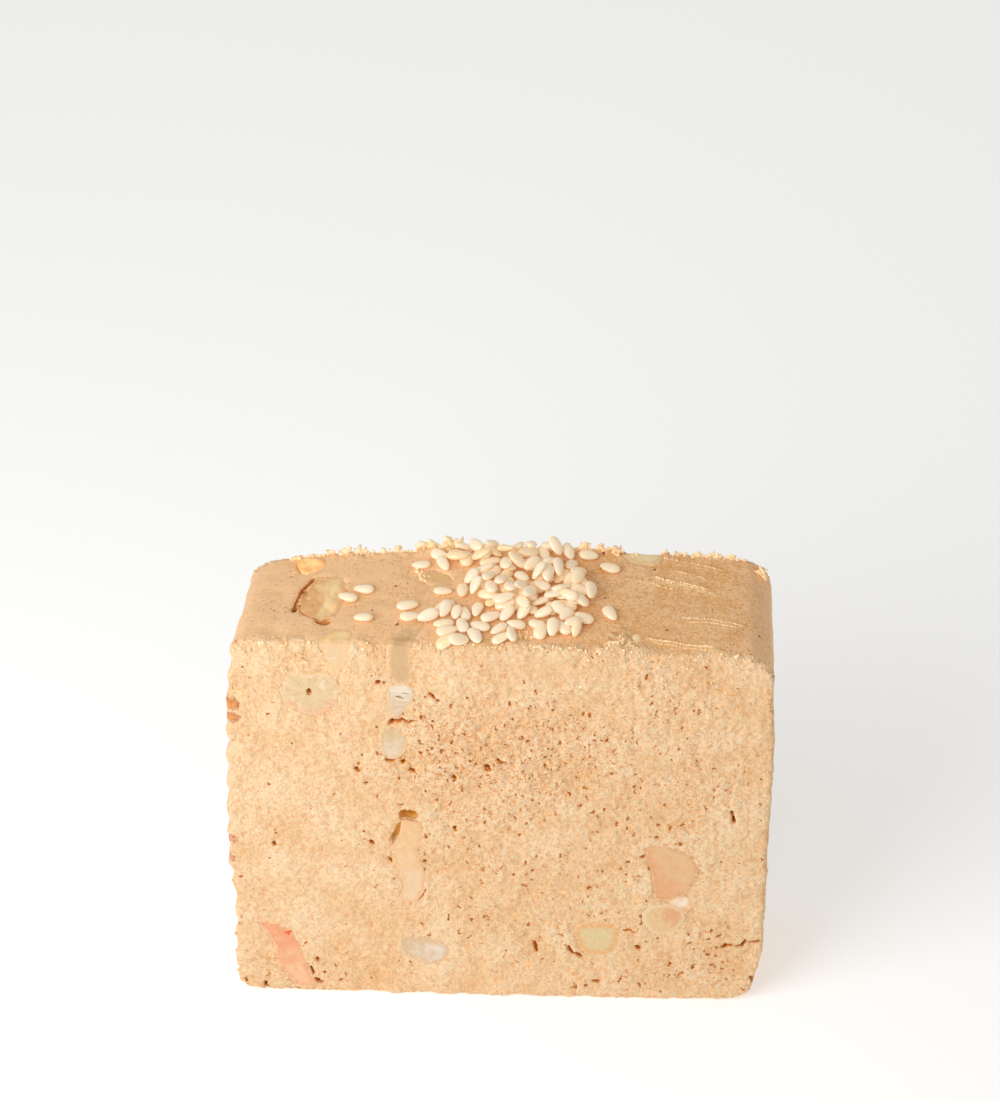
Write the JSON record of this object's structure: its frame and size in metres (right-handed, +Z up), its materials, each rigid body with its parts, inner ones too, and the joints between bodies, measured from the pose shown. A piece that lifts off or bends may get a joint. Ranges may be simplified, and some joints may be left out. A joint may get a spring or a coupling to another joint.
{
  "type": "sesame halva block",
  "caption": "Upright slice of sesame and peanut halva: crumbly sawn faces, smooth skin on top and ends, nut pieces lying open and hulled sesame seeds on top.",
  "frame": {"origin": "middle of the base that the slice stands on", "axes": "+X along the long side to the right, +Y through the thickness from the front sawn face to the back one, +Z up"},
  "size_m": [0.0772, 0.0206, 0.069],
  "materials": {
    "halva": "dry, crumbly pressed sesame and peanut paste",
    "nut_cream": "cut peanut, waxy and slightly translucent",
    "nut_yellow": "roasted peanut, waxy and slightly translucent",
    "nut_olive": "oil-soaked peanut, translucent",
    "nut_white": "dry peanut fibres, matt",
    "nut_pink": "peanut under its thin inner skin",
    "nut_salmon": "peanut sliver with its pink skin",
    "nut_amber": "toasted peanut piece, waxy",
    "nut_skin": "dry papery peanut skin",
    "sesame": "hulled sesame seed, satin"
  },
  "bodies": {
    "root": {"halva_block": "halva", "kernel_top": "nut_cream", "nut_amber_top": "nut_amber", "nut_under_skin": "nut_olive", "nut_flake_back": "nut_yellow", "nut_edge_middle": "nut_olive", "nut_edge_corner": "nut_yellow", "nut_fleck_edge": "nut_white", "kernel_split": "nut_cream", "nut_fibres": "nut_white", "nut_wedge": "nut_cream", "nut_sliver_long": "nut_yellow", "nut_pale_oval": "nut_white", "nut_green_square": "nut_olive", "nut_teardrop": "nut_pink", "nut_rose_oval": "nut_pink", "nut_chip_rose": "nut_white", "nut_salmon_sliver": "nut_salmon", "nut_chip_base": "nut_olive", "skin_bit_upper": "nut_skin", "skin_bit_lower": "nut_skin", "red_bit_upper": "nut_skin", "red_bit_lower": "nut_skin", "back_kernel": "nut_cream", "back_wedge": "nut_yellow", "back_oval": "nut_pink", "back_sliver": "nut_white"}
  },
  "joints": []
}
